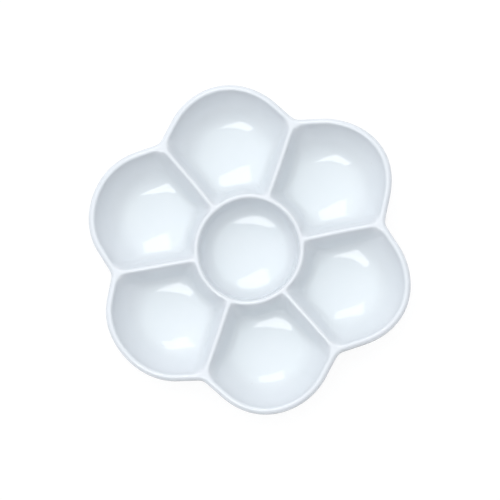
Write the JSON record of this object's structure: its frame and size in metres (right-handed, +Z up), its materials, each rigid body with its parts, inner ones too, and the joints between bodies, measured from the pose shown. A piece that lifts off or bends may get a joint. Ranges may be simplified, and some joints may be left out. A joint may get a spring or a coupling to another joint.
{
  "type": "mixing palette",
  "caption": "Flower-shaped glazed porcelain mixing palette with petal wells around a round centre well, parted by thin rounded ridges, on a foot ring.",
  "frame": {"origin": "centre of the foot ring's flat face, on the table", "axes": "+Z up along the palette's axis, +X through the middle of one petal"},
  "size_m": [0.133, 0.1224, 0.019],
  "materials": {
    "porcelain": "fine bare porcelain where the foot ring is wiped, glazed elsewhere",
    "glaze": "smooth glossy cool white glaze"
  },
  "bodies": {
    "root": {"porcelain_body": "porcelain", "petal_well_glaze": "glaze", "centre_well_glaze": "glaze", "base_glaze": "glaze"}
  },
  "joints": []
}
